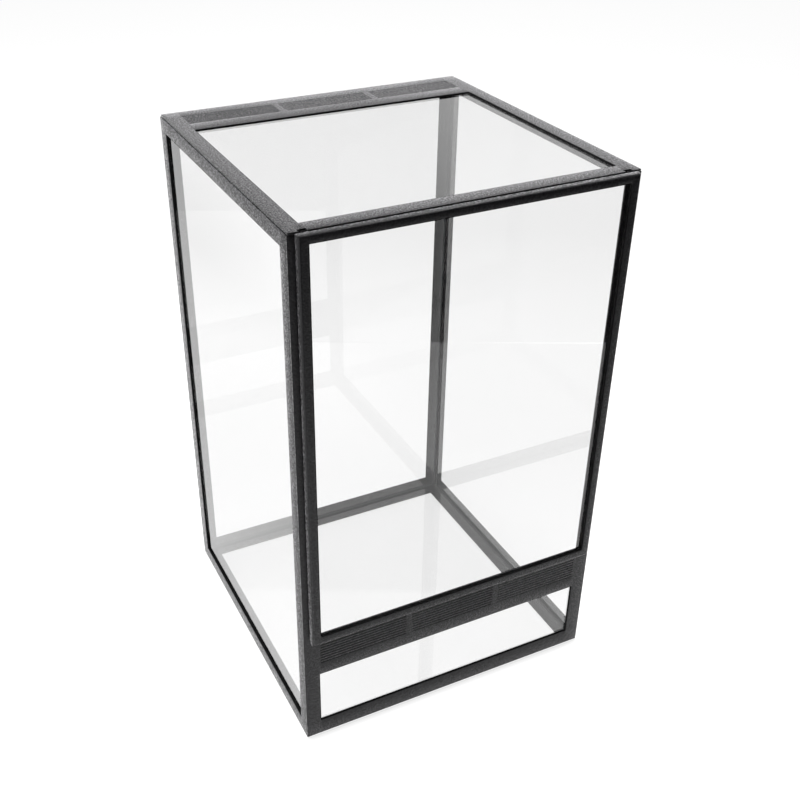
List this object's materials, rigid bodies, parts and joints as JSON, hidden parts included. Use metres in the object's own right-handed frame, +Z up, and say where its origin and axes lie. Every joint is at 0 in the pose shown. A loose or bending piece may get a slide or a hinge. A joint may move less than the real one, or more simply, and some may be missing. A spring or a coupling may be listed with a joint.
{
  "type": "reptile terrarium",
  "caption": "Tall glass terrarium in a black folded-steel cage, with a top-hinged lift-up front door, a fixed lower front window and slotted vents in the front and the lid",
  "frame": {"origin": "centre of the bounding box in plan, on the ground plane under the steel cage", "axes": "+X to the right seen from the front, +Y to the rear (the door is on -Y), +Z up"},
  "size_m": [0.2, 0.205, 0.3344],
  "materials": {
    "steel_powder_black": "fine-textured black powder coat on sheet steel",
    "pane_glass": "clear polished float glass",
    "bonding_tape": "black closed-cell bonding tape",
    "clear_silicone": "translucent clear aquarium silicone",
    "hinge_steel_blackened": "blackened (chemically oxidised) steel, lightly oiled",
    "magnet_nickel": "nickel-plated bar magnet"
  },
  "bodies": {
    "cabinet": {"front_sheet": "steel_powder_black", "rear_sheet": "steel_powder_black", "left_sheet": "steel_powder_black", "right_sheet": "steel_powder_black", "lid_sheet": "steel_powder_black", "base_sheet": "steel_powder_black", "front_pane": "pane_glass", "rear_pane": "pane_glass", "left_pane": "pane_glass", "right_pane": "pane_glass", "lid_pane": "pane_glass", "base_pane": "pane_glass", "front_tape": "bonding_tape", "rear_tape": "bonding_tape", "left_tape": "bonding_tape", "right_tape": "bonding_tape", "lid_tape": "bonding_tape", "base_tape": "bonding_tape", "corner_silicone": "clear_silicone", "base_silicone": "clear_silicone", "lid_silicone": "clear_silicone", "hinge_brackets": "hinge_steel_blackened", "hinge_pins": "hinge_steel_blackened"},
    "door": {"door_tray": "steel_powder_black", "door_pane": "pane_glass", "door_tape": "bonding_tape", "door_arms": "hinge_steel_blackened", "door_magnets": "magnet_nickel"}
  },
  "joints": [
    {"name": "door_hinge", "type": "hinge", "parent": "cabinet", "child": "door", "pos_m": [0, -0.0965, 0.3331], "axis": [-1, 0, 0], "range_deg": [0, 100]}
  ]
}
